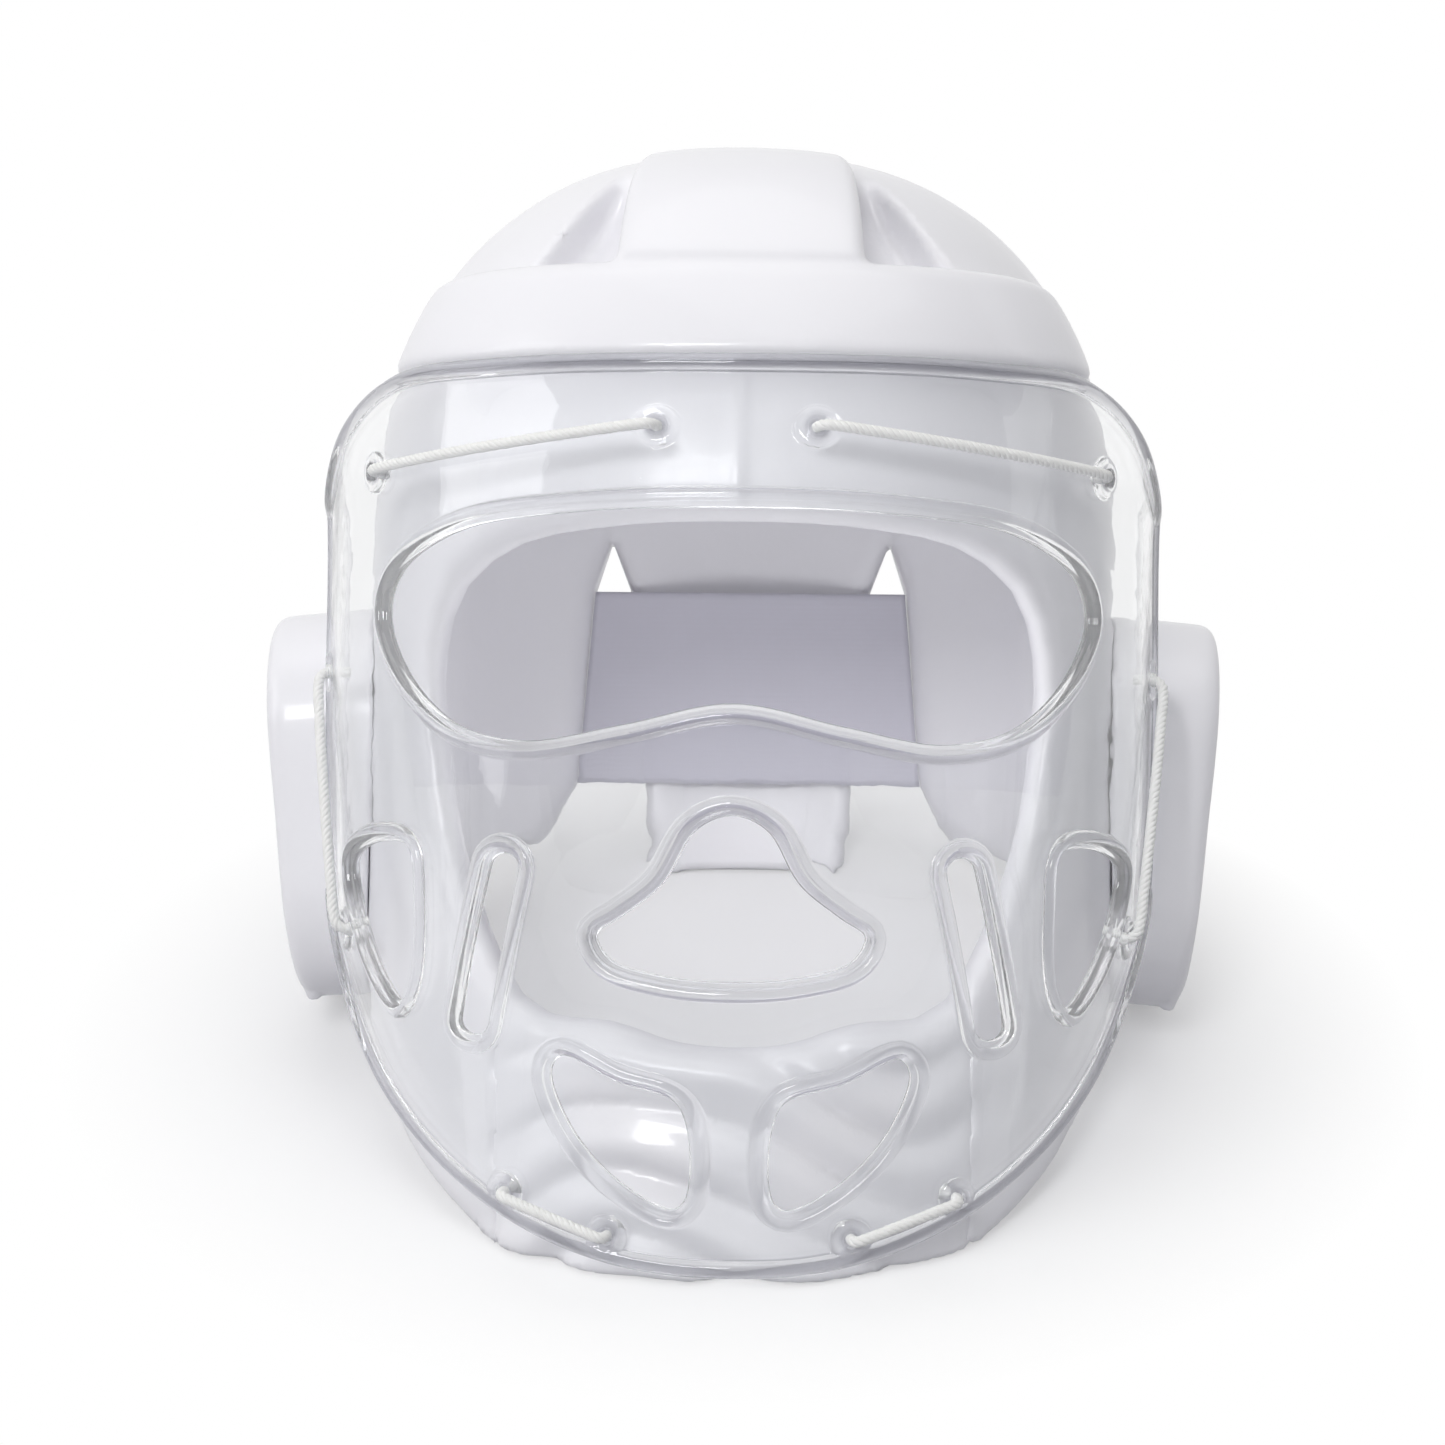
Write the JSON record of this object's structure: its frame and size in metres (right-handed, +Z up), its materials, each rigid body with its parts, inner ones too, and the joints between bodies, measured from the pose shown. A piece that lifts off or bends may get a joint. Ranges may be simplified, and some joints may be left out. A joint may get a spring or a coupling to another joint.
{
  "type": "sparring headgear with face shield",
  "caption": "Dipped foam sparring headgear with raised brow and crown pad, ear pads, chin guard, elastic back band and a laced clear face shield.",
  "frame": {"origin": "middle of the footprint on the surface that the headgear rests on", "axes": "+Z up, -Y to the front with the face tipped up by the laid-back rest, +X to the viewer's right seen from the front"},
  "size_m": [0.256, 0.3054, 0.242],
  "materials": {
    "dipped_foam": "glossy white vinyl skin dipped over closed-cell foam",
    "clear_shield": "clear moulded plastic, polished, with rounded beads",
    "elastic_webbing": "smooth white woven elastic",
    "lace_cord": "thin white braided cord"
  },
  "bodies": {
    "root": {"foam_shell": "dipped_foam", "chin_guard": "dipped_foam", "brow_pad": "dipped_foam", "ear_pad_left": "dipped_foam", "ear_pad_right": "dipped_foam", "back_band": "elastic_webbing", "face_shield": "clear_shield", "lace_top_left": "lace_cord", "lace_top_right": "lace_cord", "lace_side_left": "lace_cord", "lace_side_right": "lace_cord", "lace_bottom_left": "lace_cord", "lace_bottom_right": "lace_cord"}
  },
  "joints": []
}
